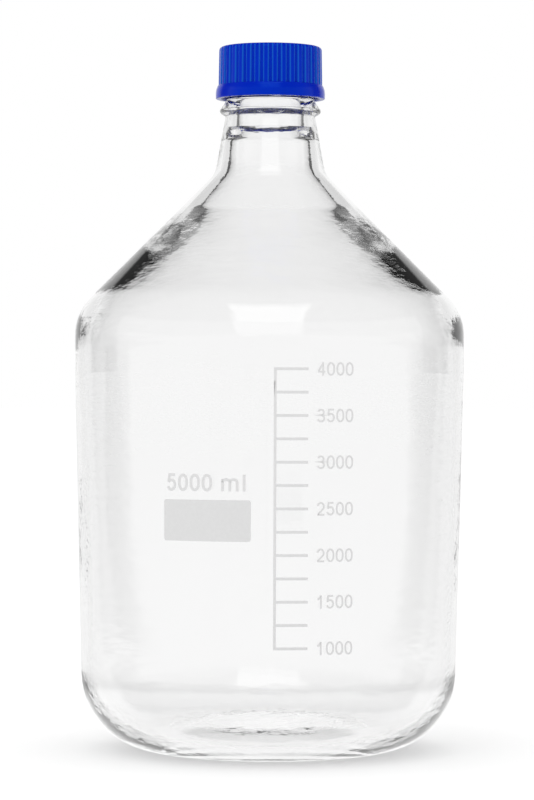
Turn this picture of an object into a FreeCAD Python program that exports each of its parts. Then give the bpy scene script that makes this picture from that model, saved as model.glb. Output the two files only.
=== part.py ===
"""Laboratory bottle of five litres with a screw cap, in millimetres.

A blown borosilicate glass bottle with a threaded neck, a pouring ring clipped on its lip and a ribbed
cap that screws over both. A graduated scale and a field for notes are fired on the front of the glass.
+Z is the bottle's axis, the foot stands on z = 0 and the scale faces -Y.
"""

import FreeCAD
import Part
import math
import os
import re
import Sketcher

doc = FreeCAD.newDocument("laboratory_bottle")
sheet = doc.addObject("Spreadsheet::Sheet", "Sizes")

SIZES = {
    # Glass body
    "body_radius": 91.2,
    "foot_radius": 86.9,
    "wall": 3.0,
    "floor_thickness": 5.2,
    "corner_radius": 36.5,
    "bearing_width": 3.4,
    "push_up": 3.5,
    "push_up_slope": 15.0,
    "push_up_rounding": 30.0,
    "bearing_rounding": 8.0,
    "taper_height": 176.0,
    "taper_rounding": 300.0,
    "upper_wall_height": 28.2,
    "shoulder_rounding": 25.0,
    "shoulder_slope": 45.0,
    "shoulder_wall": 3.2,
    # Neck
    "neck_foot_radius": 25.9,
    "neck_foot_rounding": 13.0,
    "neck_length": 27.15,
    "neck_radius": 21.1,
    "throat_wall": 7.5,
    "throat_drop": 2.5,
    "throat_rounding": 20.0,
    "throat_draft": 0.8,
    "bead_width": 3.2,
    "bead_rise": 2.0,
    "bead_slope": 5.4,
    "bead_rounding": 1.6,
    "bore_radius": 14.6,
    "bore_length": 31.8,
    "bore_flare": 6.3,
    "bore_rounding": 4.0,
    # Thread of the neck
    "thread_root_radius": 20.75,
    "thread_zone": 13.4,
    "thread_depth": 1.5,
    "thread_foot_width": 2.4,
    "thread_crest_width": 1.0,
    "thread_pitch": 4.0,
    "thread_turns": 1.75,
    "thread_start": 2.6,
    # Collar and lip that hold the pouring ring
    "collar_radius": 19.0,
    "collar_step": 0.8,
    "collar_groove": 1.8,
    "lip_bead": 0.45,
    "lip_height": 2.1,
    "lip_rounding": 1.2,
    # Pouring ring
    "ring_clearance": 0.1,
    "ring_seat_gap": 0.05,
    "ring_web": 1.2,
    "ring_web_overlap": 0.4,
    "ring_skirt_wall": 0.85,
    "ring_skirt_depth": 4.2,
    "ring_hook": 0.35,
    "ring_hook_height": 1.1,
    "pour_lip_height": 2.2,
    "pour_lip_flare": 1.7,
    "pour_lip_wall": 0.8,
    # Cap
    "seal_gap": 0.05,
    "seal_depth": 3.2,
    "seal_radius": 15.6,
    "seal_wall": 0.8,
    "seal_draft": 0.6,
    "cap_top_wall": 2.2,
    "cap_length": 24.5,
    "cap_thread_clearance": 0.45,
    "cap_thread_depth": 1.4,
    "cap_thread_foot_width": 1.6,
    "cap_thread_crest_width": 0.6,
    "cap_thread_turns": 1.5,
    "cap_lead_in": 0.6,
    "grip_wall": 1.65,
    "grip_draft": 0.25,
    "grip_edge_rounding": 1.8,
    "grip_grooves": 36,
    "groove_radius": 1.5,
    "groove_depth": 0.45,
    "flange_width": 1.3,
    "flange_height": 6.3,
    "flange_rounding": 0.5,
    # Print fired on the glass
    "print_thickness": 0.2,
    "scale_marks": 13,
    "scale_foot_height": 54.1,
    "scale_mark_spacing": 10.33,
    "scale_line_offset": 2.0,
    "scale_line_width": 1.15,
    "scale_mark_length": 15.6,
    "scale_mark_width": 1.1,
    "panel_foot_height": 101.4,
    "panel_height": 18.4,
    "panel_width": 38.8,
    "panel_offset": 8.0,
    "panel_rounding": 1.1,
}

for row, (alias, size) in enumerate(SIZES.items(), start=1):
    sheet.set("A%d" % row, alias)
    sheet.set("B%d" % row, str(size))
    sheet.setAlias("B%d" % row, alias)
doc.recompute()

# Heights and radii that follow from the sizes above
SHOULDER = "(taper_height + upper_wall_height)"
NECK_FOOT = "(%s + (body_radius - neck_foot_radius) * tan(shoulder_slope * 1 deg))" % SHOULDER
NECK_TOP = "(%s + neck_length)" % NECK_FOOT
BEAD_MIDDLE = "(%s + bead_rise)" % NECK_TOP
THREAD_FOOT = "(%s + bead_slope)" % BEAD_MIDDLE
THREAD_TOP = "(%s + thread_zone)" % THREAD_FOOT
GROOVE_FOOT = "(%s + collar_step)" % THREAD_TOP
GROOVE_TOP = "(%s + collar_groove)" % GROOVE_FOOT
LIP_FOOT = "(%s + lip_bead)" % GROOVE_TOP
LIP_TOP = "(%s + lip_height)" % LIP_FOOT
LIP_RADIUS = "(collar_radius + lip_bead)"

RING_SEAT = "(%s + ring_seat_gap)" % LIP_TOP
WEB_TOP = "(%s + ring_web)" % RING_SEAT
RING_BORE = "(%s + ring_clearance)" % LIP_RADIUS
RING_RADIUS = "(%s + ring_skirt_wall)" % RING_BORE
SKIRT_END = "(%s - ring_skirt_depth)" % LIP_TOP

SEAL_TIP = "(%s + seal_gap)" % WEB_TOP
CAP_CEILING = "(%s + seal_depth)" % SEAL_TIP
CAP_TOP = "(%s + cap_top_wall)" % CAP_CEILING
CAP_END = "(%s - cap_length)" % CAP_TOP
FLANGE_TOP = "(%s + flange_height)" % CAP_END
CAP_BORE = "(thread_root_radius + thread_depth + cap_thread_clearance)"
GRIP_RADIUS = "(%s + grip_wall)" % CAP_BORE
FLANGE_RADIUS = "(%s + flange_width)" % GRIP_RADIUS


def bound(expression):
    """The expression with each size named as a cell of the sheet."""
    return re.sub(r"\b(?!tan\b|deg\b)[a-z][a-z_]+", r"Sizes.\g<0>", expression)


def value(expression):
    """What an expression of sizes comes to, as a number."""
    result = sheet.evalExpression(bound(expression))
    return float(getattr(result, "Value", result))


def new_body(label):
    body = doc.addObject("PartDesign::Body", label)
    body.Label = label
    body.Placement = FreeCAD.Placement()
    return body


def new_sketch(body, name, plane):
    """A sketch on one of the body's own origin planes."""
    sketch = body.newObject("Sketcher::SketchObject", name)
    origin_plane = next(f for f in body.Origin.OriginFeatures if f.Role == plane)
    sketch.AttachmentSupport = [(origin_plane, "")]
    sketch.MapMode = "FlatFace"
    return sketch


def constrain(sketch, rules):
    """Add constraints in one go. Each rule is (kind, what it holds, expression of its size or None)."""
    constraints = []
    for kind, held, expression in rules:
        sizes = () if expression is None else (value(expression),)
        constraints.append(Sketcher.Constraint(kind, *held, *sizes))
    numbers = sketch.addConstraint(constraints)
    for number, (kind, held, expression) in zip(numbers, rules):
        if expression is not None:
            sketch.setExpression("Constraints[%d]" % number, bound(expression))


def pinned(geometry, vertex, across, up):
    """Rules that hold a sketch point at two sizes measured from the sketch's origin."""
    rules = []
    for kind, axis, expression in (("DistanceX", -2, across), ("DistanceY", -1, up)):
        if expression == "0":
            rules.append(("PointOnObject", (geometry, vertex, axis), None))
        else:
            rules.append((kind, (-1, 1, geometry, vertex), expression))
    return rules


def arc_about(centre, radius, first, last):
    """The short arc between two points, counter-clockwise as a sketch needs it, and its ends' numbers."""
    before = first - centre
    after = last - centre
    forward = before.cross(after).z > 0
    start, stop = (before, after) if forward else (after, before)
    circle = Part.Circle(centre, FreeCAD.Vector(0, 0, 1), radius)
    arc = Part.ArcOfCircle(circle, math.atan2(start.y, start.x), math.atan2(stop.y, stop.x))
    return (arc, 1, 2) if forward else (arc, 2, 1)


def outline(sketch, corners):
    """A closed outline of straight lines, with a tangent arc at each corner that has a rounding.

    Each corner is (across, up, rounding), in expressions of sizes. A rounded corner keeps its point,
    held on both of its lines, so the corner's own sizes still drive it.
    """
    count = len(corners)
    points = [FreeCAD.Vector(value(c[0]), value(c[1]), 0) for c in corners]
    ends = []
    arcs = {}
    for i, corner in enumerate(corners):
        if corner[2] == "0":
            ends.append((points[i], points[i]))
            continue
        radius = value(corner[2])
        back = (points[i - 1] - points[i]).normalize()
        ahead = (points[(i + 1) % count] - points[i]).normalize()
        half = back.getAngle(ahead) / 2
        setback = radius / math.tan(half)
        middle = (back + ahead).normalize()
        centre = points[i] + middle * (radius / math.sin(half))
        first = points[i] + back * setback
        last = points[i] + ahead * setback
        ends.append((first, last))
        arcs[i] = arc_about(centre, radius, first, last)

    lines = []
    for i in range(count):
        start = ends[i][1]
        stop = ends[(i + 1) % count][0]
        lines.append(sketch.addGeometry(Part.LineSegment(start, stop), False))
    rules = []
    for i, corner in enumerate(corners):
        line_in = lines[i - 1]
        line_out = lines[i]
        if i not in arcs:
            rules.append(("Coincident", (line_in, 2, line_out, 1), None))
            rules += pinned(line_out, 1, corner[0], corner[1])
            continue
        arc, entry, leave = arcs[i]
        curve = sketch.addGeometry(arc, False)
        tip = sketch.addGeometry(Part.Point(points[i]), True)
        rules += [
            ("Tangent", (line_in, 2, curve, entry), None),
            ("Tangent", (curve, leave, line_out, 1), None),
            ("Radius", (curve,), corner[2]),
            ("PointOnObject", (tip, 1, line_in), None),
            ("PointOnObject", (tip, 1, line_out), None),
        ]
        rules += pinned(tip, 1, corner[0], corner[1])
    constrain(sketch, rules)


def revolved(body, name, corners):
    """Turn a section, given in the XZ plane, once around the body's Z axis."""
    section = new_sketch(body, name + "_section", "XZ_Plane")
    outline(section, corners)
    solid = body.newObject("PartDesign::Revolution", name)
    solid.Profile = section
    solid.ReferenceAxis = (section, ["V_Axis"])
    solid.Angle = 360
    return solid


def wound(body, name, root, crest, height, foot_width, crest_width, turns):
    """A right-hand thread ridge that climbs from a height, sunk a little into the wall behind it."""
    section = new_sketch(body, name + "_section", "XZ_Plane")
    outline(section, [
        (root, "%s - %s / 2" % (height, foot_width), "0"),
        (root, "%s + %s / 2" % (height, foot_width), "0"),
        (crest, "%s + %s / 2" % (height, crest_width), "0"),
        (crest, "%s - %s / 2" % (height, crest_width), "0"),
    ])
    ridge = body.newObject("PartDesign::AdditiveHelix", name)
    ridge.Profile = section
    ridge.ReferenceAxis = (section, ["V_Axis"])
    ridge.Mode = "pitch-turns-angle"
    ridge.LeftHanded = False
    ridge.setExpression("Pitch", bound("thread_pitch"))
    ridge.setExpression("Turns", bound(turns))
    return ridge


def make_bottle():
    """The blown glass: a rounded foot with a shallow push-up, a slightly tapered wall, a cone and a neck."""
    body = new_body("bottle")
    bearing = "(foot_radius - corner_radius - bearing_width)"
    flat = "(%s - push_up_slope)" % bearing
    corner_shift = "shoulder_wall * tan(shoulder_slope * 0.5 deg)"
    throat_radius = "(neck_foot_radius - throat_wall)"
    outside = [
        ("0", "push_up", "0"),
        (flat, "push_up", "push_up_rounding"),
        (bearing, "0", "bearing_rounding"),
        ("foot_radius", "0", "corner_radius"),
        ("body_radius", "taper_height", "taper_rounding"),
        ("body_radius", SHOULDER, "shoulder_rounding"),
        ("neck_foot_radius", NECK_FOOT, "neck_foot_rounding"),
        ("neck_radius", NECK_TOP, "0"),
        ("neck_radius + bead_width", BEAD_MIDDLE, "bead_rounding"),
        ("thread_root_radius", THREAD_FOOT, "bead_rounding"),
        ("thread_root_radius", THREAD_TOP, "0"),
        ("collar_radius", GROOVE_FOOT, "0"),
        ("collar_radius", GROOVE_TOP, "0"),
        (LIP_RADIUS, LIP_FOOT, "0"),
        (LIP_RADIUS, LIP_TOP, "lip_rounding"),
    ]
    inside = [
        ("bore_radius", LIP_TOP, "lip_rounding"),
        ("bore_radius", "%s - bore_length" % LIP_TOP, "bore_rounding"),
        ("%s - throat_draft" % throat_radius, "%s - bore_length - bore_flare" % LIP_TOP, "bore_rounding"),
        (throat_radius, "%s - throat_drop" % NECK_FOOT, "throat_rounding"),
        ("body_radius - wall", "%s - %s" % (SHOULDER, corner_shift), "shoulder_rounding - wall"),
        ("body_radius - wall", "taper_height", "taper_rounding"),
        ("foot_radius - wall", "floor_thickness", "corner_radius - wall"),
        (bearing, "floor_thickness", "bearing_rounding"),
        (flat, "push_up + floor_thickness", "push_up_rounding"),
        ("0", "push_up + floor_thickness", "0"),
    ]
    revolved(body, "glass", outside + inside)
    wound(
        body, "neck_thread", "thread_root_radius - 0.3", "thread_root_radius + thread_depth",
        "(%s + thread_start)" % THREAD_FOOT, "thread_foot_width", "thread_crest_width", "thread_turns",
    )
    return body


def make_pouring_ring():
    """A moulded ring that clips over the lip and pours without dripping from its flared edge."""
    body = new_body("pouring_ring")
    hook_end = "(%s + ring_hook_height)" % SKIRT_END
    hook_radius = "%s - ring_hook" % RING_BORE
    pour_foot = "(%s - pour_lip_flare - pour_lip_wall)" % RING_RADIUS
    revolved(body, "ring", [
        ("bore_radius + ring_web_overlap", RING_SEAT, "0"),
        (RING_BORE, RING_SEAT, "0"),
        (RING_BORE, "%s + ring_hook" % hook_end, "0"),
        (hook_radius, hook_end, "0"),
        (hook_radius, SKIRT_END, "0"),
        (RING_RADIUS, SKIRT_END, "0"),
        (RING_RADIUS, "%s - ring_web / 2" % WEB_TOP, "0"),
        ("%s + pour_lip_wall" % pour_foot, WEB_TOP, "0"),
        (RING_RADIUS, "%s + pour_lip_height" % WEB_TOP, "0"),
        ("%s - pour_lip_wall / 2" % RING_RADIUS, "%s + pour_lip_height" % WEB_TOP, "0"),
        (pour_foot, WEB_TOP, "0"),
        ("bore_radius + ring_web_overlap", WEB_TOP, "0"),
    ])
    return body


def make_screw_cap():
    """A moulded cap: a ribbed grip over a plain flange, a thread inside and a sealing lip under its top."""
    body = new_body("screw_cap")
    revolved(body, "cap", [
        ("0", CAP_CEILING, "0"),
        ("seal_radius", CAP_CEILING, "0"),
        ("seal_radius", SEAL_TIP, "0"),
        ("seal_radius + seal_wall", SEAL_TIP, "0"),
        ("seal_radius + seal_wall + seal_draft", CAP_CEILING, "0"),
        (CAP_BORE, CAP_CEILING, "grip_wall / 2"),
        (CAP_BORE, "%s + cap_lead_in" % CAP_END, "0"),
        ("%s + cap_lead_in" % CAP_BORE, CAP_END, "0"),
        (FLANGE_RADIUS, CAP_END, "flange_rounding"),
        (FLANGE_RADIUS, FLANGE_TOP, "flange_rounding"),
        (GRIP_RADIUS, FLANGE_TOP, "0"),
        ("%s - grip_draft" % GRIP_RADIUS, CAP_TOP, "grip_edge_rounding"),
        ("0", CAP_TOP, "0"),
    ])
    wound(
        body, "cap_thread", "%s + 0.3" % CAP_BORE, "%s - cap_thread_depth" % CAP_BORE,
        "(%s + thread_start + thread_pitch / 2)" % THREAD_FOOT,
        "cap_thread_foot_width", "cap_thread_crest_width", "cap_thread_turns",
    )

    groove = new_sketch(body, "groove_section", "XY_Plane")
    groove.setExpression("AttachmentOffset.Base.z", bound(FLANGE_TOP))
    centre = "%s + groove_radius - groove_depth" % GRIP_RADIUS
    circle = Part.Circle(
        FreeCAD.Vector(value(centre), 0, 0), FreeCAD.Vector(0, 0, 1), value("groove_radius"))
    ring = groove.addGeometry(circle, False)
    constrain(groove, [("Radius", (ring,), "groove_radius")] + pinned(ring, 3, centre, "0"))
    cut = body.newObject("PartDesign::Pocket", "groove")
    cut.Profile = groove
    cut.Type = "ThroughAll"
    cut.Reversed = True
    grooves = body.newObject("PartDesign::PolarPattern", "grooves")
    grooves.Originals = [cut]
    grooves.Axis = (groove, ["N_Axis"])
    grooves.Angle = 360
    grooves.setExpression("Occurrences", bound("grip_grooves"))
    body.Tip = grooves
    return body


def print_skin(name):
    """A thin skin on the outside of the glass wall, which the printed fields are cut from."""
    body = new_body(name)
    edge = [
        ("foot_radius", "0"),
        ("body_radius", "taper_height"),
        ("body_radius", SHOULDER),
    ]
    inner = [(edge[0][0], edge[0][1], "0"), (edge[1][0], edge[1][1], "taper_rounding"),
             (edge[2][0], edge[2][1], "0")]
    outer = [(across + " + print_thickness", up, rounding) for across, up, rounding in inner]
    revolved(body, name + "_wall", inner + outer[::-1])
    return body


def printed(label, stencil):
    """The part of a thin skin on the glass that lies behind a stencil."""
    field = doc.addObject("Part::Common", label)
    field.Label = label
    field.Base = print_skin(label + "_skin")
    field.Tool = stencil
    return field


def pad_forward(body, name, sketch):
    """Carry a front-facing sketch out past the front of the glass."""
    pad = body.newObject("PartDesign::Pad", name)
    pad.Profile = sketch
    pad.setExpression("Length", bound("body_radius * 1.1"))
    return pad


def make_volume_scale():
    """The scale: one upright line with a mark for every quarter litre."""
    stencil = new_body("scale_stencil")
    upright = new_sketch(stencil, "scale_line_section", "XZ_Plane")
    top = "scale_foot_height + (scale_marks - 1) * scale_mark_spacing + scale_mark_width / 2"
    foot = "scale_foot_height - scale_mark_width / 2"
    far = "scale_line_offset + scale_line_width"
    outline(upright, [
        ("scale_line_offset", foot, "0"),
        (far, foot, "0"),
        (far, top, "0"),
        ("scale_line_offset", top, "0"),
    ])
    pad_forward(stencil, "scale_line", upright)
    mark = new_sketch(stencil, "scale_mark_section", "XZ_Plane")
    mark_end = "scale_line_offset + scale_mark_length"
    outline(mark, [
        ("scale_line_offset", foot, "0"),
        (mark_end, foot, "0"),
        (mark_end, "scale_foot_height + scale_mark_width / 2", "0"),
        ("scale_line_offset", "scale_foot_height + scale_mark_width / 2", "0"),
    ])
    first = pad_forward(stencil, "scale_mark", mark)
    marks = stencil.newObject("PartDesign::LinearPattern", "scale_marks")
    marks.Originals = [first]
    marks.Direction = (mark, ["V_Axis"])
    marks.setExpression("Length", bound("(scale_marks - 1) * scale_mark_spacing"))
    marks.setExpression("Occurrences", bound("scale_marks"))
    stencil.Tip = marks
    return printed("volume_scale", stencil)


def make_writing_panel():
    """The plain field beside the scale, for notes in pencil."""
    stencil = new_body("panel_stencil")
    face = new_sketch(stencil, "panel_section", "XZ_Plane")
    near = value("panel_offset")
    far = value("panel_offset + panel_width")
    foot = value("panel_foot_height")
    top = value("panel_foot_height + panel_height")
    corners = [(-far, foot), (-near, foot), (-near, top), (-far, top)]
    lines = []
    for i, start in enumerate(corners):
        stop = corners[(i + 1) % 4]
        lines.append(face.addGeometry(Part.LineSegment(
            FreeCAD.Vector(start[0], start[1], 0), FreeCAD.Vector(stop[0], stop[1], 0)), False))
    rules = [
        ("DistanceX", (lines[1], 1, -1, 1), "panel_offset"),
        ("DistanceX", (lines[0], 1, lines[0], 2), "panel_width"),
        ("DistanceY", (-1, 1, lines[0], 1), "panel_foot_height"),
        ("DistanceY", (lines[1], 1, lines[1], 2), "panel_height"),
    ]
    for i in range(4):
        rules.append(("Coincident", (lines[i], 2, lines[(i + 1) % 4], 1), None))
        rules.append((("Horizontal", "Vertical")[i % 2], (lines[i],), None))
    constrain(face, rules)
    block = pad_forward(stencil, "panel_block", face)
    doc.recompute()
    upright = []
    for number, edge in enumerate(block.Shape.Edges, start=1):
        along = edge.Vertexes[-1].Point - edge.Vertexes[0].Point
        if abs(along.y) > value("body_radius"):
            upright.append("Edge%d" % number)
    rounded = stencil.newObject("PartDesign::Fillet", "panel_corners")
    rounded.Base = (block, upright)
    rounded.setExpression("Radius", bound("panel_rounding"))
    stencil.Tip = rounded
    return printed("writing_panel", stencil)


parts = [
    make_bottle(),
    make_pouring_ring(),
    make_screw_cap(),
    make_volume_scale(),
    make_writing_panel(),
]
doc.recompute()

for item in doc.Objects:
    if {"Invalid", "Error"} & set(item.State):
        raise RuntimeError("%s failed: %s" % (item.Name, item.State))
for part in parts:
    if part.Shape.isNull() or not part.Shape.isValid():
        raise RuntimeError("%s has no valid shape" % part.Label)

os.makedirs("parts", exist_ok=True)
for part in parts:
    part.Shape.exportStep("parts/%s.step" % part.Label)
    box = part.Shape.BoundBox
    print("%s: %d solids, %.1f cm3, z %.2f to %.2f, x %.2f to %.2f" % (
        part.Label, len(part.Shape.Solids), part.Shape.Volume / 1000,
        box.ZMin, box.ZMax, box.XMin, box.XMax))
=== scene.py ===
# %% [markdown]
# # A five litre laboratory bottle
# The bottle is blown from clear borosilicate glass. A pouring ring of blue plastic clips on its lip, and
# a ribbed cap screws over both. A scale and a field for notes are fired on the glass in white enamel.
# The frame holds every piece at its real size, so this script only gives each piece its finished form
# and finish, and then sets the light and the camera.

import bpy
import math
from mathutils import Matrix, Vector, noise


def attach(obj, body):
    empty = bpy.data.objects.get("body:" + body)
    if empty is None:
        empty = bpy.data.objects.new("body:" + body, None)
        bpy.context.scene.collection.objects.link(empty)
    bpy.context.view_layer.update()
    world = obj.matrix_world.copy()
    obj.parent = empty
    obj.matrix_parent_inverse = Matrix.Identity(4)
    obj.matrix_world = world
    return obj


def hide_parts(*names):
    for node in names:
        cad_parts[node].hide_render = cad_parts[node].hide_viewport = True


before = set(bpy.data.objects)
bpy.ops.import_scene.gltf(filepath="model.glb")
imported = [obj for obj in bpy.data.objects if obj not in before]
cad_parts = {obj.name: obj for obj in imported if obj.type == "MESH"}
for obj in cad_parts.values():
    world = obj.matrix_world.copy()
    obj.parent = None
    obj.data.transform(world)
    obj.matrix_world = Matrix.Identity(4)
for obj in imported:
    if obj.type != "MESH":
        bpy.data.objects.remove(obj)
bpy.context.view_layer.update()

# %% [markdown]
# ## Working in sections
# Everything here except the print is round, so it could be made from cylinders or on a lathe. A lathe
# is the better choice: the wall, the corners and the lip are all one line, and that line is what a
# glass maker draws. A section is a list of corners, each with its rounding, in millimetres.

# %% Points along a section
MM = 0.001


def run_points(start, stop, spacing):
    """Points from start up to, but not at, stop, no further apart than the spacing."""
    count = max(1, math.ceil((stop - start).length / spacing))
    return [start.lerp(stop, i / count) for i in range(count)]


def section_points(corners, spacing=4.0, arc_step=math.radians(6)):
    """Turn corners of (radius, height, rounding) into points, with an arc at each rounded corner."""
    tips = [Vector((c[0], c[1])) for c in corners]
    points, last = [], tips[0]
    for i in range(1, len(corners) - 1):
        rounding = corners[i][2]
        if rounding == 0:
            points += run_points(last, tips[i], spacing)
            last = tips[i]
            continue
        back = (tips[i - 1] - tips[i]).normalized()
        ahead = (tips[i + 1] - tips[i]).normalized()
        half = back.angle(ahead) / 2
        first = tips[i] + back * (rounding / math.tan(half))
        centre = tips[i] + (back + ahead).normalized() * (rounding / math.sin(half))
        points += run_points(last, first, spacing)
        arm = first - centre
        sweep = arm.angle_signed(tips[i] + ahead * (rounding / math.tan(half)) - centre)
        steps = max(2, math.ceil(abs(sweep) / arc_step))
        for k in range(steps):
            turn = -sweep * k / steps
            cos, sin = math.cos(turn), math.sin(turn)
            points.append(centre + Vector((arm.x * cos - arm.y * sin, arm.x * sin + arm.y * cos)))
        last = tips[i] + ahead * (rounding / math.tan(half))
    return points + run_points(last, tips[-1], spacing) + [tips[-1]]


# %% The lathe
def deselect_all():
    bpy.ops.object.select_all(action="DESELECT")


def draw_line(name, places):
    """Extrude one point along places in metres, and leave the line selected in edit mode."""
    deselect_all()
    bpy.ops.mesh.primitive_plane_add(size=MM)
    piece = bpy.context.object
    piece.name = piece.data.name = name
    bpy.ops.object.mode_set(mode="EDIT")
    bpy.ops.mesh.select_mode(type="VERT")
    bpy.ops.mesh.merge(type="CENTER")
    bpy.ops.transform.translate(value=places[0])
    for here, there in zip(places, places[1:]):
        bpy.ops.mesh.extrude_region_move(TRANSFORM_OT_translate={"value": there - here})
    bpy.ops.mesh.select_all(action="SELECT")
    return piece


def lathe(name, points, steps):
    """Draw a section and spin it once around the Z axis."""
    piece = draw_line(name, [Vector((p.x, 0, p.y)) * MM for p in points])
    bpy.ops.mesh.spin(steps=steps, angle=math.tau, center=(0, 0, 0), axis=(0, 0, 1))
    bpy.ops.mesh.select_all(action="SELECT")
    bpy.ops.mesh.remove_doubles(threshold=0.002 * MM)
    bpy.ops.mesh.normals_make_consistent(inside=False)
    bpy.ops.object.mode_set(mode="OBJECT")
    bpy.ops.object.shade_smooth()
    print(name, "points", len(piece.data.vertices), "faces", len(piece.data.polygons))
    return piece


# %% [markdown]
# ## The blown glass
# The outside has the mould's clean form: a large corner at the foot, a wall that widens a little
# upwards, a cone at 45 degrees and a long neck with a bead. The inside follows at the wall's
# thickness, but the glass thickens up the cone and stays thick in the neck. That slight wedge bends the
# view enough to show dark patches on the shoulder. One closed section holds both sides, because light
# has to enter and leave the glass at two real surfaces to bend as it does in the bottle.

# %% Sizes of the glass
BODY_R, FOOT_R, WALL, FLOOR = 91.2, 86.9, 3.0, 5.2
CORNER, BEARING_R, PUSH_UP, PUSH_UP_R = 36.5, 47.0, 3.5, 32.0
TAPER_Z, SHOULDER_Z, SHOULDER_ROUND, INNER_ROUND = 176.0, 204.2, 25.0, 31.0
NECK_FOOT_R, NECK_FOOT_Z = 25.9, 269.5
THROAT_R, THROAT_Z = 18.6, 268.5
THICK_R, THICK_Z = 34.0, 248.8
NECK_TOP_R, NECK_TOP_Z = 21.1, 296.65
THREAD_R, THREAD_FOOT_Z, THREAD_TOP_Z = 20.75, 304.05, 317.45
COLLAR_R, LIP_R, LIP_Z = 19.0, 19.45, 322.6
BORE_R, BORE_END_Z, FLARE_END_Z = 14.6, 290.8, 284.5
GLASS_STEPS = 256

outside_foot = [
    (0, PUSH_UP, 0), (PUSH_UP_R, PUSH_UP, 30), (BEARING_R, 0, 8), (FOOT_R, 0, CORNER),
    (BODY_R, TAPER_Z, 300), (BODY_R, SHOULDER_Z, SHOULDER_ROUND),
    (NECK_FOOT_R, NECK_FOOT_Z, 13), (NECK_TOP_R, NECK_TOP_Z, 0.5),
    (NECK_TOP_R + 3.2, NECK_TOP_Z + 2, 1.6), (THREAD_R, THREAD_FOOT_Z, 1.6),
    (THREAD_R, THREAD_FOOT_Z + 1, 0),
]
outside_lip = [
    (THREAD_R, THREAD_TOP_Z, 0), (COLLAR_R, THREAD_TOP_Z + 0.8, 0.3), (COLLAR_R, LIP_Z - 2.55, 0.2),
    (LIP_R, LIP_Z - 2.1, 0.2), (LIP_R, LIP_Z, 1.2), (BORE_R, LIP_Z, 1.2), (BORE_R, LIP_Z - 3, 0),
]
inside = [
    (BORE_R, LIP_Z - 3, 0), (BORE_R, BORE_END_Z, 0.3), (THROAT_R - 0.8, FLARE_END_Z, 6),
    (THROAT_R, THROAT_Z, 20), (THICK_R, THICK_Z, 12), (BODY_R - WALL, SHOULDER_Z - 1.3, INNER_ROUND),
    (BODY_R - WALL, TAPER_Z, 300),
    (FOOT_R - WALL, FLOOR, CORNER - WALL), (BEARING_R, FLOOR, 8), (PUSH_UP_R, PUSH_UP + FLOOR, 30),
    (0, PUSH_UP + FLOOR, 0),
]

# %% Turn the glass
THREAD_SPACING = 0.3
thread_run = run_points(
    Vector((THREAD_R, THREAD_FOOT_Z + 1)), Vector((THREAD_R, THREAD_TOP_Z)), THREAD_SPACING)
glass_section = (
    section_points(outside_foot)[:-1] + thread_run + section_points(outside_lip)
    + section_points(inside)[1:]
)
glass = lathe("bottle_glass", glass_section, GLASS_STEPS)
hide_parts("bottle")

# %% [markdown]
# ## The thread
# The neck's thread is a rounded ridge that climbs 4 mm in a turn and fades out at both ends. A screw
# modifier would leave a seam where the ridge meets the neck. The lathe has left fine rings there, so
# each point can be moved outwards by the height of the ridge at its own height and angle, which keeps
# the glass in one skin. The same function, turned inwards, cuts the cap's thread.

# %% Height of a thread ridge
PITCH, THREAD_DEPTH, THREAD_START_Z, THREAD_TURNS = 4.0, 1.5, 306.65, 1.75
FADE_TURNS = 0.08


def smooth(share):
    share = min(1.0, max(0.0, share))
    return share * share * (3 - 2 * share)


def ridge(point, start, turns, foot, crest):
    """How much of a right-hand thread's depth stands at a point, from 0 to 1."""
    turned = math.atan2(point.y, point.x) / math.tau % 1
    lap = round((point.z / MM - start) / PITCH - turned)
    gone = lap + turned
    if not 0 <= gone <= turns:
        return 0.0
    off = abs(point.z / MM - start - gone * PITCH)
    ends = smooth(gone / FADE_TURNS) * smooth((turns - gone) / FADE_TURNS)
    return ends * smooth((foot / 2 - off) / (foot / 2 - crest / 2))


def swell(point, change):
    """Move a point away from the Z axis by a change of its radius, in millimetres."""
    radius = math.hypot(point.x, point.y)
    scale = (radius + change * MM) / radius
    point.x *= scale
    point.y *= scale


def radius_of(point):
    return math.hypot(point.x, point.y) / MM


for vertex in glass.data.vertices:
    here = vertex.co
    if THREAD_FOOT_Z < here.z / MM < THREAD_TOP_Z and radius_of(here) > THREAD_R - 0.1:
        swell(here, THREAD_DEPTH * ridge(here, THREAD_START_Z, THREAD_TURNS, 2.8, 0.9))

# %% [markdown]
# ## Uneven inside
# The mould shapes only the outside. Inside, the air leaves long soft waves, and they are what makes a
# dark edge seen through the shoulder wander. The waves are moved into the inner skin as real shape.
# They are longer up the wall than round it, because the glass stretches as it is blown.

# %% Waves in the inner skin
WAVE_ROUND, WAVE_UP, WAVE_DEPTH = 26.0, 60.0, 0.12
BORE_WAVE_SHARE = 0.3


def inner_wall(height):
    """Radius halfway through the wall at a height, which parts the inner skin from the outer."""
    if height > NECK_FOOT_Z:
        return 20.0
    if height > SHOULDER_Z - 12:
        return min(BODY_R - WALL / 2, NECK_FOOT_R + (NECK_FOOT_Z - height) - 2.2)
    return FOOT_R - WALL / 2 + (BODY_R - FOOT_R) * min(1.0, height / TAPER_Z)


def wave(point):
    place = Vector((point.x / WAVE_ROUND, point.y / WAVE_ROUND, point.z / WAVE_UP)) / MM
    return noise.noise(place) + 0.5 * noise.noise(place * 2.3 + Vector((7, 3, 1)))


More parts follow.
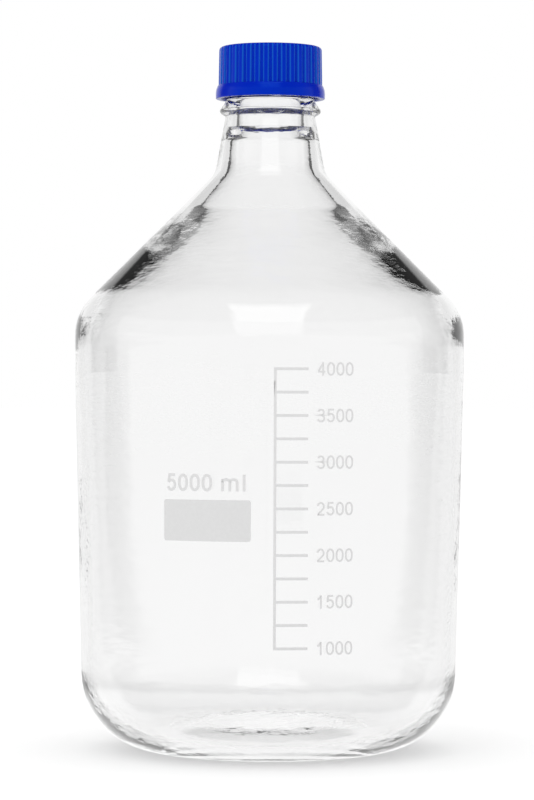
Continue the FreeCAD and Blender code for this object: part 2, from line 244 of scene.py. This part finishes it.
inner = glass.data.attributes.new("inner_skin", "FLOAT", "POINT")
waved = 0
for vertex in glass.data.vertices:
    here = vertex.co
    height, radius = here.z / MM, radius_of(here)
    if height < CORNER + FLOOR:
        centre = Vector((FOOT_R - CORNER, CORNER))
        from_centre = (Vector((max(radius, centre.x), height)) - centre).length
        inner.data[vertex.index].value = float(from_centre < CORNER - WALL / 2)
    elif radius < inner_wall(height) and height < LIP_Z - 4:
        inner.data[vertex.index].value = 1.0
        swell(here, WAVE_DEPTH * wave(here) * (BORE_WAVE_SHARE if height > NECK_FOOT_Z else 1))
        waved += 1
print("inner points waved:", waved)

# %% [markdown]
# ## The pouring ring
# The ring hooks under the lip's bead, covers the rim and ends in a thin flared edge that cuts a drop
# off cleanly. It is turned on the same lathe, as a closed loop clear of the axis.

# %% Turn the pouring ring
RING_SEAT_Z = LIP_Z + 0.05
WEB_TOP_Z = RING_SEAT_Z + 1.2
RING_BORE, RING_R = 19.55, 20.4
ring_corners = [
    (15.0, RING_SEAT_Z + 0.5, 0), (15.0, RING_SEAT_Z, 0.25), (RING_BORE, RING_SEAT_Z, 0.1),
    (RING_BORE, LIP_Z - 2.75, 0.1), (RING_BORE - 0.35, LIP_Z - 3.1, 0.1),
    (RING_BORE - 0.35, LIP_Z - 4.2, 0.15), (RING_R, LIP_Z - 4.2, 0.15),
    (RING_R, WEB_TOP_Z - 0.6, 0.3), (RING_R - 1.7, WEB_TOP_Z, 0.5),
    (RING_R, WEB_TOP_Z + 2.2, 0.12), (RING_R - 0.4, WEB_TOP_Z + 2.2, 0.12),
    (RING_R - 2.5, WEB_TOP_Z, 0.5),
    (15.0, WEB_TOP_Z, 0.25), (15.0, RING_SEAT_Z + 0.5, 0),
]
ring = lathe("pouring_ring_moulded", section_points(ring_corners, 1.0, math.radians(15)), 192)
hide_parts("pouring_ring")

# %% [markdown]
# ## The screw cap
# The cap is one moulding: a plain flange, a grip with 36 shallow grooves and a rounded top edge, and
# inside it a thread and a sealing lip. The grooves could be cut with a boolean, but that leaves hard
# edges that catch no light. Moving the points of a finely turned cap gives the soft lands of a mould.
# Each point also keeps how near a groove's edge it lies, so the finish can paint a pale highlight there.

# %% Turn the cap
CAP_END_Z, CAP_TOP_Z, CEILING_Z = 304.8, 329.3, 327.1
FLANGE_R, FLANGE_TOP_Z, GRIP_R, CAP_BORE = 25.65, 311.1, 24.35, 22.7
GROOVES, GROOVE_R, GROOVE_DEPTH = 36, 1.0, 0.85
CAP_STEPS = GROOVES * 24
CAP_THREAD_Z, CAP_THREAD_TURNS, CAP_THREAD_DEPTH = THREAD_START_Z + PITCH / 2, 1.5, 1.4
BORE_CHAMFER = 0.9
FLANGE_EASE, FLANGE_EASE_HEIGHT, FLANGE_ROUND = 0.95, 2.2, 7
CROWN_R = 21.5
SEAL_BORE, SEAL_LOW_R, SEAL_R, SEAL_DROP = 15.6, 16.4, 17.0, 3.15

cap_outside = [
    (CAP_BORE, CAP_END_Z + BORE_CHAMFER, 0), (CAP_BORE + 0.6, CAP_END_Z, 0.2),
    (FLANGE_R, CAP_END_Z, 0.5), (FLANGE_R, FLANGE_TOP_Z - FLANGE_EASE_HEIGHT, FLANGE_ROUND),
    (FLANGE_R - FLANGE_EASE, FLANGE_TOP_Z, 0.3), (GRIP_R + 0.05, FLANGE_TOP_Z, 0.12),
    (GRIP_R - 0.25, CAP_TOP_Z, 1.8), (CROWN_R, CAP_TOP_Z, 0), (0, CAP_TOP_Z, 0),
]
cap_inside = [
    (0, CEILING_Z, 0), (SEAL_BORE, CEILING_Z, 0.2), (SEAL_BORE, CEILING_Z - SEAL_DROP, 0.3),
    (SEAL_LOW_R, CEILING_Z - SEAL_DROP, 0.3), (SEAL_R, CEILING_Z, 0.3),
    (CAP_BORE, CEILING_Z, 0.8), (CAP_BORE, THREAD_TOP_Z, 0),
]
thread_foot = Vector((CAP_BORE, CAP_END_Z + BORE_CHAMFER))
cap_section = (
    section_points(cap_outside, 5.0, math.radians(12))
    + section_points(cap_inside, 5.0, math.radians(20))[:-1]
    + run_points(Vector((CAP_BORE, THREAD_TOP_Z)), thread_foot, THREAD_SPACING) + [thread_foot]
)
cap = lathe("screw_cap_moulded", cap_section, CAP_STEPS)
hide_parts("screw_cap")

# %% Groove the grip and raise the cap's thread
LAND_EASE, HIGHLIGHT_WIDTH = 0.12, 0.45
groove_centre = GRIP_R + GROOVE_R - GROOVE_DEPTH


def groove_offset(point):
    """How far a point's angle lies across from the middle of the nearest groove, in millimetres."""
    step = math.tau / GROOVES
    return groove_centre * abs(math.sin((math.atan2(point.y, point.x) + step / 2) % step - step / 2))


def grooved(across):
    """Radius that a groove leaves at an offset from its middle, or far outside beside the groove."""
    if across >= GROOVE_R:
        return FLANGE_R + 5
    return math.sqrt(groove_centre ** 2 - across ** 2) - math.sqrt(GROOVE_R ** 2 - across ** 2)


def soft_least(a, b, ease):
    """The lesser of two lengths, with the corner between them rounded by an ease."""
    blend = max(0.0, ease - abs(a - b)) / ease
    return min(a, b) - blend * blend * ease / 4


# How near each grip point lies to a groove's edge, where the finish paints a pale highlight.
groove_edge_highlight = cap.data.attributes.new("groove_edge_highlight", "FLOAT", "POINT")
for vertex in cap.data.vertices:
    here = vertex.co
    radius, height = radius_of(here), here.z / MM
    if height > FLANGE_TOP_Z + 0.05 and radius > CAP_BORE + 0.4:
        across = groove_offset(here)
        groove_edge_highlight.data[vertex.index].value = max(0.0, 1 - abs(across - GROOVE_R) / HIGHLIGHT_WIDTH)
        swell(here, soft_least(radius, grooved(across), LAND_EASE) - radius)
    elif height < THREAD_TOP_Z and abs(radius - CAP_BORE) < 0.01:
        swell(here, -CAP_THREAD_DEPTH * ridge(here, CAP_THREAD_Z, CAP_THREAD_TURNS, 1.9, 0.6))

# %% [markdown]
# ## The print
# The marks are enamel, screened on the glass and fired, so they are a film with a clean edge. Mesh text
# would give letters at once, but in the shapes of its font. A stencil is drawn with a pen of one width,
# so each sign here is a few strokes: a line, raised by the film and widened by a solidify modifier. All
# of it is made flat, cut into small faces and then bent on to the wall: a point that lies across the
# sheet goes round the wall by the same length.

# %% Flat shapes as thick as the film
FILM, FILM_GAP = 0.05, 0.01


def thickened(piece, thickness, offset):
    """Give faces a thickness in millimetres, towards their front where the offset is 1."""
    solid = piece.modifiers.new("thickness", "SOLIDIFY")
    solid.thickness = thickness * MM
    solid.offset = offset
    solid.use_even_offset = True
    deselect_all()
    piece.select_set(True)
    bpy.context.view_layer.objects.active = piece
    bpy.ops.object.modifier_apply(modifier=solid.name)
    return piece


def flat_box(name, left, right, low, high, rounding=0.0):
    """A flat rectangle in X and Y, in millimetres."""
    deselect_all()
    middle = ((left + right) / 2 * MM, (low + high) / 2 * MM, 0)
    bpy.ops.mesh.primitive_plane_add(size=1, location=middle)
    piece = bpy.context.object
    piece.name = piece.data.name = name
    bpy.ops.object.mode_set(mode="EDIT")
    bpy.ops.transform.resize(value=((right - left) * MM, (high - low) * MM, 1))
    if rounding:
        bpy.ops.mesh.bevel(offset=rounding * MM, segments=6, affect="VERTICES")
    bpy.ops.object.mode_set(mode="OBJECT")
    bpy.ops.object.transform_apply(location=True, rotation=True, scale=True)
    return thickened(piece, FILM, 1)


def stroke(points, pen):
    """One stroke of a pen along flat points, in millimetres."""
    piece = draw_line("stroke", [Vector((x, y, 0)) * MM for x, y in points])
    bpy.ops.mesh.remove_doubles(threshold=0.01 * MM)
    bpy.ops.mesh.extrude_region_move(TRANSFORM_OT_translate={"value": (0, 0, FILM * MM)})
    bpy.ops.object.mode_set(mode="OBJECT")
    return thickened(piece, pen, 0)


def joined(pieces, name):
    deselect_all()
    for piece in pieces:
        piece.select_set(True)
    bpy.context.view_layer.objects.active = pieces[0]
    bpy.ops.object.join()
    whole = bpy.context.object
    whole.name = whole.data.name = name
    return whole


# %% Bend a flat print on to the wall
PRINT_FACE = 1.2


def wall_radius(height):
    """Radius of the outer wall at a height, in millimetres."""
    return FOOT_R + (BODY_R - FOOT_R) * min(1.0, height / TAPER_Z)


def bend_on(piece):
    """Cut a flat print, drawn in X and Y, into small faces and lay it on the front of the wall."""
    deselect_all()
    piece.select_set(True)
    bpy.context.view_layer.objects.active = piece
    bpy.ops.object.mode_set(mode="EDIT")
    low = min(v.co.x for v in piece.data.vertices)
    high = max(v.co.x for v in piece.data.vertices)
    cuts = int((high - low) / MM / PRINT_FACE)
    for i in range(1, cuts + 1):
        bpy.ops.mesh.select_all(action="SELECT")
        place = low + (high - low) * i / (cuts + 1)
        bpy.ops.mesh.bisect(plane_co=(place, 0, 0), plane_no=(1, 0, 0))
    bpy.ops.object.mode_set(mode="OBJECT")
    for vertex in piece.data.vertices:
        across, up, out = vertex.co
        radius = (wall_radius(up / MM) + FILM_GAP) * MM
        angle = across / radius
        vertex.co = Vector(((radius + out) * math.sin(angle), -(radius + out) * math.cos(angle), up))
    print(piece.name, "faces", len(piece.data.polygons))
    return piece


# %% Signs as pen strokes
def oval(across, up, half_wide, half_tall, start, stop):
    """Points on an oval in a sign's own unit box, from one angle in degrees to another."""
    count = max(2, round(abs(stop - start) / 15))
    angles = [math.radians(start + (stop - start) * i / count) for i in range(count + 1)]
    return [(across + half_wide * math.cos(a), up + half_tall * math.sin(a)) for a in angles]


SIGNS = {
    "0": [oval(0.5, 0.6, 0.5, 0.4, 0, 180) + oval(0.5, 0.4, 0.5, 0.4, 180, 360) + [(1, 0.6)]],
    "1": [[(0.55, -0.07), (0.55, 1.07)], [(0, 0.7), (0.3, 0.79), (0.5, 1.0)]],
    "2": [oval(0.48, 0.69, 0.47, 0.31, 170, -30) + [(0.55, 0.32), (0.12, 0.09), (0.04, 0)],
          [(-0.04, 0), (1.05, 0)]],
    "3": [oval(0.46, 0.765, 0.42, 0.235, 165, -90) + oval(0.46, 0.265, 0.5, 0.265, 90, -165)[1:]],
    "4": [[(0.76, -0.07), (0.76, 1.07)], [(0.76, 0.98), (0.03, 0.32)], [(-0.05, 0.27), (1.1, 0.27)]],
    "5": [[(0.98, 1), (0.2, 1), (0.07, 0.5)], oval(0.48, 0.325, 0.5, 0.325, 148, -160)],
    "m": [[(0, -0.07), (0, 0.77)], oval(0.25, 0.54, 0.25, 0.18, 180, 0) + [(0.5, -0.07)],
          oval(0.75, 0.54, 0.25, 0.18, 180, 0) + [(1, -0.07)]],
    "l": [[(0, -0.07), (0, 1.07)]],
}


def write(words, left, low, height, pen, wide, step):
    """Strokes for signs of one height, pen and width, each a step after the last, in millimetres."""
    pieces = []
    for i, sign in enumerate(words):
        for line in SIGNS[sign]:
            corner = (left + i * step + pen / 2, low + pen / 2)
            pieces.append(stroke(
                [(corner[0] + x * (wide - pen), corner[1] + y * (height - pen)) for x, y in line], pen))
    return pieces


# %% The scale and its numbers
SCALE_FOOT_Z, MARK_SPACING, MARKS = 54.1, 10.33, 13
LINE_X, LINE_WIDTH, MARK_END_X, MARK_WIDTH = 2.0, 1.25, 17.4, 1.25
NUMBER_X, NUMBER_HEIGHT = 21.4, 6.1
FIRST_NUMBER, NUMBER_RISE = 1000, 250
NUMBER_PEN, NUMBER_WIDE, NUMBER_STEP = 0.85, 3.8, 4.42
HALF = MARK_WIDTH / 2

scale_top = SCALE_FOOT_Z + (MARKS - 1) * MARK_SPACING
scale_shapes = [flat_box("line", LINE_X, LINE_X + LINE_WIDTH, SCALE_FOOT_Z - HALF, scale_top + HALF)]
for i in range(MARKS):
    middle = SCALE_FOOT_Z + i * MARK_SPACING
    scale_shapes.append(flat_box("mark", LINE_X + LINE_WIDTH, MARK_END_X, middle - HALF, middle + HALF))
scale = bend_on(joined(scale_shapes, "scale_print"))
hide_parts("volume_scale")

numbers = []
for i in range(0, MARKS, 2):
    low = SCALE_FOOT_Z + i * MARK_SPACING - NUMBER_HEIGHT / 2
    number = str(FIRST_NUMBER + NUMBER_RISE * i)
    numbers += write(number, NUMBER_X, low, NUMBER_HEIGHT, NUMBER_PEN, NUMBER_WIDE, NUMBER_STEP)
scale_numbers = bend_on(joined(numbers, "scale_numbers"))

# %% The panel and the words beside the scale
PANEL, PANEL_ROUND = (-49.1, -8.0, 101.4, 119.8), 1.1
TITLE_X, TITLE_Z, TITLE_HEIGHT, TITLE_PEN = -47.7, 123.5, 7.9, 1.3
TITLE_WIDE, TITLE_STEP = 4.9, 5.75
M_AFTER, M_WIDE, L_AFTER = 26.3, 7.9, 36.0

panel = bend_on(flat_box("panel_print", *PANEL, PANEL_ROUND))
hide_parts("writing_panel")
title = write("5000", TITLE_X, TITLE_Z, TITLE_HEIGHT, TITLE_PEN, TITLE_WIDE, TITLE_STEP)
title += write("m", TITLE_X + M_AFTER, TITLE_Z, TITLE_HEIGHT, TITLE_PEN, M_WIDE, 0)
title += write("l", TITLE_X + L_AFTER, TITLE_Z, TITLE_HEIGHT, TITLE_PEN, TITLE_PEN, 0)
volume_words = bend_on(joined(title, "volume_words"))
for piece in (scale, panel, scale_numbers, volume_words):
    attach(piece, "bottle")
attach(glass, "bottle")
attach(ring, "pouring_ring")
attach(cap, "screw_cap")

# %% [markdown]
# ## Finishes
# Glass is a clear solid with the refraction of borosilicate. Its slight waviness is bump, because it
# is far finer than its points. The cap and ring are one moulded plastic, and the enamel is matt. The
# soft unevenness that the finishes share is a node group.

# %% A node group for fine unevenness
def uneven_group():
    """Outputs a value that changes softly over a surface, with a size and a stretch along Z."""
    group = bpy.data.node_groups.new("fine_unevenness", "ShaderNodeTree")
    sides = (("Size", "INPUT", 60.0), ("Stretch", "INPUT", 1.0), ("Value", "OUTPUT", None))
    for name, side, default in sides:
        socket = group.interface.new_socket(name=name, in_out=side, socket_type="NodeSocketFloat")
        if default is not None:
            socket.default_value = default
    nodes, links = group.nodes, group.links
    given, out = nodes.new("NodeGroupInput"), nodes.new("NodeGroupOutput")
    place = nodes.new("ShaderNodeTexCoord")
    stretch = nodes.new("ShaderNodeCombineXYZ")
    scaled = nodes.new("ShaderNodeVectorMath")
    scaled.operation = "MULTIPLY"
    stretch.inputs["X"].default_value = stretch.inputs["Y"].default_value = 1
    links.new(given.outputs["Stretch"], stretch.inputs["Z"])
    links.new(place.outputs["Object"], scaled.inputs[0])
    links.new(stretch.outputs[0], scaled.inputs[1])
    texture = nodes.new("ShaderNodeTexNoise")
    texture.inputs["Detail"].default_value = 3
    links.new(scaled.outputs[0], texture.inputs["Vector"])
    links.new(given.outputs["Size"], texture.inputs["Scale"])
    links.new(texture.outputs["Fac"], out.inputs["Value"])
    return group


UNEVEN = uneven_group()


def new_material(name):
    material = bpy.data.materials.new(name)
    material.use_nodes = True
    return material, material.node_tree.nodes, material.node_tree.links


def uneven(nodes, size, stretch=1.0):
    node = nodes.new("ShaderNodeGroup")
    node.node_tree = UNEVEN
    node.inputs["Size"].default_value = size
    node.inputs["Stretch"].default_value = stretch
    return node.outputs["Value"]


def bump(nodes, links, height, strength, distance):
    node = nodes.new("ShaderNodeBump")
    node.inputs["Strength"].default_value = strength
    node.inputs["Distance"].default_value = distance
    links.new(height, node.inputs["Height"])
    return node.outputs["Normal"]


def spread(nodes, links, value, low, high):
    """Map a 0.3 to 0.7 noise value to a range."""
    node = nodes.new("ShaderNodeMapRange")
    node.inputs["From Min"].default_value = 0.3
    node.inputs["From Max"].default_value = 0.7
    node.inputs["To Min"].default_value = low
    node.inputs["To Max"].default_value = high
    links.new(value, node.inputs["Value"])
    return node.outputs["Result"]


def colours(nodes, links, value, low, high):
    node = nodes.new("ShaderNodeMix")
    node.data_type = "RGBA"
    links.new(value, node.inputs["Factor"])
    node.inputs["A"].default_value = (*low, 1)
    node.inputs["B"].default_value = (*high, 1)
    return node.outputs["Result"]


# %% Clear glass
GLASS_IOR, GLASS_CLEAR, SHADOW_CLEAR = 1.473, 0.985, 0.88
RIPPLE_SIZE, RIPPLE_STRETCH, RIPPLE_DEPTH = 80, 3.2, 0.00012


def clear_glass():
    """Refracting glass, rippled inside, whose shadow lets most light through."""
    material, nodes, links = new_material("borosilicate_glass")
    shader = nodes["Principled BSDF"]
    shader.inputs["Base Color"].default_value = (GLASS_CLEAR, GLASS_CLEAR, GLASS_CLEAR, 1)
    shader.inputs["Transmission Weight"].default_value = 1
    shader.inputs["Roughness"].default_value = 0
    shader.inputs["IOR"].default_value = GLASS_IOR
    skin = nodes.new("ShaderNodeAttribute")
    skin.attribute_name = "inner_skin"
    ripple = nodes.new("ShaderNodeMath")
    ripple.operation = "MULTIPLY"
    links.new(uneven(nodes, RIPPLE_SIZE, RIPPLE_STRETCH), ripple.inputs[0])
    links.new(skin.outputs["Fac"], ripple.inputs[1])
    links.new(bump(nodes, links, ripple.outputs[0], 1.0, RIPPLE_DEPTH), shader.inputs["Normal"])
    clear = nodes.new("ShaderNodeBsdfTransparent")
    clear.inputs["Color"].default_value = (SHADOW_CLEAR, SHADOW_CLEAR, SHADOW_CLEAR, 1)
    path = nodes.new("ShaderNodeLightPath")
    mix = nodes.new("ShaderNodeMixShader")
    links.new(path.outputs["Is Shadow Ray"], mix.inputs["Fac"])
    links.new(shader.outputs["BSDF"], mix.inputs[1])
    links.new(clear.outputs["BSDF"], mix.inputs[2])
    links.new(mix.outputs["Shader"], nodes["Material Output"].inputs["Surface"])
    return material


def dress(piece, material):
    piece.data.materials.clear()
    piece.data.materials.append(material)


dress(glass, clear_glass())


# %% Moulded plastic and fired enamel
# The third blue is a highlight painted along the grip's groove edges.
BLUE, BLUE_LIGHT, BLUE_HIGHLIGHT = (0.0001, 0.012, 0.45), (0.0002, 0.018, 0.51), (0.01, 0.12, 0.57)
ENAMEL, ENAMEL_LIGHT = (0.71, 0.71, 0.71), (0.77, 0.77, 0.77)


def moulded_plastic(name, shade, light, highlight):
    """Plastic of one colour, with a pale highlight painted along the groove edges of the piece."""
    material, nodes, links = new_material(name)
    shader = nodes["Principled BSDF"]
    mottle = uneven(nodes, 90)
    grain = uneven(nodes, 2200)
    # The groove-edge attribute mixes in the painted highlight colour.
    highlight_mask = nodes.new("ShaderNodeAttribute")
    highlight_mask.attribute_name = "groove_edge_highlight"
    base = nodes.new("ShaderNodeMix")
    base.data_type = "RGBA"
    links.new(highlight_mask.outputs["Fac"], base.inputs["Factor"])
    links.new(colours(nodes, links, mottle, shade, light), base.inputs["A"])
    base.inputs["B"].default_value = (*highlight, 1)
    links.new(base.outputs["Result"], shader.inputs["Base Color"])
    links.new(spread(nodes, links, grain, 0.16, 0.22), shader.inputs["Roughness"])
    links.new(bump(nodes, links, grain, 0.10, 0.00004), shader.inputs["Normal"])
    shader.inputs["Specular IOR Level"].default_value = 0.3
    shader.inputs["Specular Tint"].default_value = (0.1, 0.6, 1, 1)
    return material


def fired_enamel():
    material, nodes, links = new_material("fired_enamel")
    shader = nodes["Principled BSDF"]
    mottle = uneven(nodes, 700)
    links.new(colours(nodes, links, mottle, ENAMEL, ENAMEL_LIGHT), shader.inputs["Base Color"])
    links.new(spread(nodes, links, mottle, 0.35, 0.5), shader.inputs["Roughness"])
    links.new(bump(nodes, links, uneven(nodes, 3000), 0.2, 0.00004), shader.inputs["Normal"])
    return material


blue = moulded_plastic("blue_polypropylene", BLUE, BLUE_LIGHT, BLUE_HIGHLIGHT)
dress(cap, blue)
dress(ring, blue)
enamel = fired_enamel()
for piece in (scale, panel, scale_numbers, volume_words):
    dress(piece, enamel)

# %% [markdown]
# ## Floor, light and backdrop
# Clear glass shows what is behind it, so it is drawn by the room and not by lamps. The room here has
# white walls that end a little above the bottle, a dark ceiling, and two dark upright boards, left and
# right of the wall behind the bottle. The glass turns them into the dark patches of the shoulder and
# the thin lines of the neck. Only rays that see things, directly, mirrored or through glass, get that
# room; matt surfaces are lit by an even white.

# %% Masks for rays that see things
# A fade is where it starts and ends, and the light it ends at. A field is its middle, half its width and
# its soft edge. Both go by the cosine of the angle from straight back.
FADE, BOARDS = (1, 0.82, 0.8), (0.42, 0.20, 0.05)


def combined(nodes, links, operation, first, second):
    """Two values, or a value and a number, put together by one Math node."""
    node = nodes.new("ShaderNodeMath")
    node.operation = operation
    for socket, given in zip(node.inputs, (first, second)):
        if isinstance(given, (int, float)):
            socket.default_value = given
        else:
            links.new(given, socket)
    return node.outputs[0]


def falls(nodes, links, value, start, stop, light):
    """Light that falls from 1 to a lower level as a value goes from start to stop."""
    fall = nodes.new("ShaderNodeMapRange")
    fall.interpolation_type = "SMOOTHSTEP"
    fall.inputs["From Min"].default_value = start
    fall.inputs["From Max"].default_value = stop
    fall.inputs["To Min"].default_value = 1
    fall.inputs["To Max"].default_value = light
    links.new(value, fall.inputs["Value"])
    return fall.outputs["Result"]


def near(nodes, links, value, middle, half, edge):
    """1 where a value lies within half of the middle, with a narrow soft edge."""
    off = combined(nodes, links, "SUBTRACT", value, middle)
    size = combined(nodes, links, "ABSOLUTE", off, 0)
    return falls(nodes, links, size, half, half + edge, 0)


def wall_share(nodes, links, cosine, board):
    """How bright the walls are at a cosine, with boards of a given light."""
    fade = falls(nodes, links, cosine, *FADE)
    dark = combined(nodes, links, "MULTIPLY", near(nodes, links, cosine, *BOARDS), 1 - board)
    return combined(nodes, links, "MULTIPLY", fade, combined(nodes, links, "SUBTRACT", 1, dark))


def seen_by(nodes, links):
    """Masks for camera rays, for rays by reflection and for rays through glass."""
    path = nodes.new("ShaderNodeLightPath")
    return [path.outputs[kind] for kind in ("Is Camera Ray", "Is Glossy Ray", "Is Transmission Ray")]


# %% The floor
CAMERA_LIFT, SEEN_LIFT, MIRROR_LIFT = 0.22, 0.80, 0.8
CENTRE_AHEAD = 0.2
# Fades by the distance from the bottle's axis, in metres.
BESIDE, UNDER, FOOT_SHADE = (0.42, 0.6, 0), (0.12, 0.25, 0), (0.24, 0.12, 0.84)
PALE, DIM = (0.97, 0.97, 0.97), (0.20, 0.20, 0.20)

deselect_all()
bpy.ops.mesh.primitive_grid_add(x_subdivisions=4, y_subdivisions=4, size=30, location=(0, 0, -0.0002))
floor = bpy.context.object
floor.name = "floor"
floor_material, nodes, links = new_material("pale_floor")
shader = nodes["Principled BSDF"]
shader.inputs["Roughness"].default_value = 1
shader.inputs["Specular IOR Level"].default_value = 0
shader.inputs["Emission Color"].default_value = (1, 1, 1, 1)
direct, mirrored, glassy = seen_by(nodes, links)
links.new(colours(nodes, links, glassy, PALE, DIM), shader.inputs["Base Color"])
place = nodes.new("ShaderNodeTexCoord")
parts = nodes.new("ShaderNodeSeparateXYZ")
away = nodes.new("ShaderNodeVectorMath")
away.operation = "LENGTH"
links.new(place.outputs["Object"], parts.inputs[0])
links.new(place.outputs["Object"], away.inputs[0])


def times(first, *others):
    """Values multiplied together, in the material or world at hand."""
    for other in others:
        first = combined(nodes, links, "MULTIPLY", first, other)
    return first


across, distance = parts.outputs["X"], away.outputs["Value"]
ahead = combined(nodes, links, "ADD", parts.outputs["Y"], CENTRE_AHEAD)
square = combined(nodes, links, "ADD", times(ahead, ahead), times(across, across))
cosine = combined(nodes, links, "DIVIDE", ahead, combined(nodes, links, "SQRT", square, 0))
beside = times(falls(nodes, links, distance, *BESIDE), FADE[2])
share = combined(nodes, links, "MAXIMUM", wall_share(nodes, links, cosine, 0), beside)
seen_lift = times(glassy, SEEN_LIFT, share, falls(nodes, links, distance, *FOOT_SHADE))
lift = combined(nodes, links, "MAXIMUM", times(direct, CAMERA_LIFT), seen_lift)
mirror_lift = times(mirrored, MIRROR_LIFT, falls(nodes, links, distance, *UNDER))
lift = combined(nodes, links, "MAXIMUM", lift, mirror_lift)
links.new(lift, shader.inputs["Emission Strength"])
dress(floor, floor_material)

# %% The world
EVEN_LIGHT, WALL_LIGHT, BOARD_LIGHT, BOX_LIGHT = 0.87, 0.975, 0.08, 1.5
CEILING = (0.36, 0.42, 0.16)
# The softbox is a field in X and in Z, in front of the bottle only.
BOX_WIDE, BOX_TALL, BOX_FRONT = (0, 0.30, 0.03), (0.64, 0.23, 0.03), (-0.1, 0, 0)

world = bpy.data.worlds.new("studio")
bpy.context.scene.world = world
world.use_nodes = True
nodes, links = world.node_tree.nodes, world.node_tree.links
even = nodes["Background"]
even.inputs["Color"].default_value = (1, 1, 1, 1)
even.inputs["Strength"].default_value = EVEN_LIGHT
room, white = nodes.new("ShaderNodeBackground"), nodes.new("ShaderNodeBackground")
room.inputs["Color"].default_value = white.inputs["Color"].default_value = (1, 1, 1, 1)
place = nodes.new("ShaderNodeTexCoord")
parts = nodes.new("ShaderNodeSeparateXYZ")
links.new(place.outputs["Generated"], parts.inputs[0])
x, y, z = (parts.outputs[axis] for axis in "XYZ")
direct, mirrored, glassy = seen_by(nodes, links)
walls = times(falls(nodes, links, z, *CEILING), WALL_LIGHT, wall_share(nodes, links, y, BOARD_LIGHT))
box = times(near(nodes, links, z, *BOX_TALL), near(nodes, links, x, *BOX_WIDE))
box = times(box, falls(nodes, links, y, *BOX_FRONT), BOX_LIGHT)
links.new(combined(nodes, links, "ADD", walls, box), room.inputs["Strength"])
mix_seen, mix_camera = nodes.new("ShaderNodeMixShader"), nodes.new("ShaderNodeMixShader")
links.new(combined(nodes, links, "MAXIMUM", mirrored, glassy), mix_seen.inputs["Fac"])
links.new(even.outputs[0], mix_seen.inputs[1])
links.new(room.outputs[0], mix_seen.inputs[2])
links.new(direct, mix_camera.inputs["Fac"])
links.new(mix_seen.outputs[0], mix_camera.inputs[1])
links.new(white.outputs[0], mix_camera.inputs[2])
links.new(mix_camera.outputs[0], nodes["World Output"].inputs["Surface"])


# %% The lamp
def soft_lamp(name, place, aim, size, power):
    deselect_all()
    bpy.ops.object.light_add(type="AREA", location=place)
    lamp = bpy.context.object
    lamp.name = name
    lamp.data.shape = "RECTANGLE"
    lamp.data.size, lamp.data.size_y = size
    lamp.data.energy = power
    lamp.rotation_euler = (Vector(aim) - Vector(place)).to_track_quat("-Z", "Y").to_euler()
    lamp.visible_glossy = lamp.visible_transmission = False
    return lamp


LAMP_PLACE, LAMP_AIM, LAMP_SIZE, LAMP_POWER = (-0.5, -0.97, 1.07), (0, 0, 0.2), (1.0, 0.85), 3
soft_lamp("softbox", LAMP_PLACE, LAMP_AIM, LAMP_SIZE, LAMP_POWER)

# %% [markdown]
# ## The camera
# The photograph was taken from in front, level, at about half the bottle's height: the foot is seen
# from a little above and the cap from a little below. The lens follows from the distance and from how
# many pixels a millimetre takes at the bottle's axis.

# %% Set the camera
# Heights and distances are in millimetres, and rows and columns in pixels of the photograph.
VIEW_HEIGHT, VIEW_DISTANCE = 175.0, 1500.0
PIXELS_PER_MM, FRAME_TALL, FRAME_WIDE = 2.1277, 800, 534
AXIS_COLUMN, HORIZON_ROW = 269.4, 375.6
SENSOR = 36.0
ROLL = math.radians(0.2)

camera_data = bpy.data.cameras.new("camera")
camera = bpy.data.objects.new("camera", camera_data)
bpy.context.scene.collection.objects.link(camera)
camera.location = Vector((0, -VIEW_DISTANCE, VIEW_HEIGHT)) * MM
camera.rotation_euler = (math.radians(90), -ROLL, 0)
camera_data.sensor_width = SENSOR
camera_data.lens = SENSOR * PIXELS_PER_MM * VIEW_DISTANCE / FRAME_TALL
camera_data.shift_x = (FRAME_WIDE / 2 - AXIS_COLUMN) / FRAME_TALL
camera_data.shift_y = (HORIZON_ROW - FRAME_TALL / 2) / FRAME_TALL
bpy.context.scene.camera = camera
bpy.context.scene.cycles.max_bounces = 32
bpy.context.scene.cycles.transmission_bounces = 32
bpy.context.scene.cycles.glossy_bounces = 16
bpy.context.scene.view_settings.view_transform = "Standard"
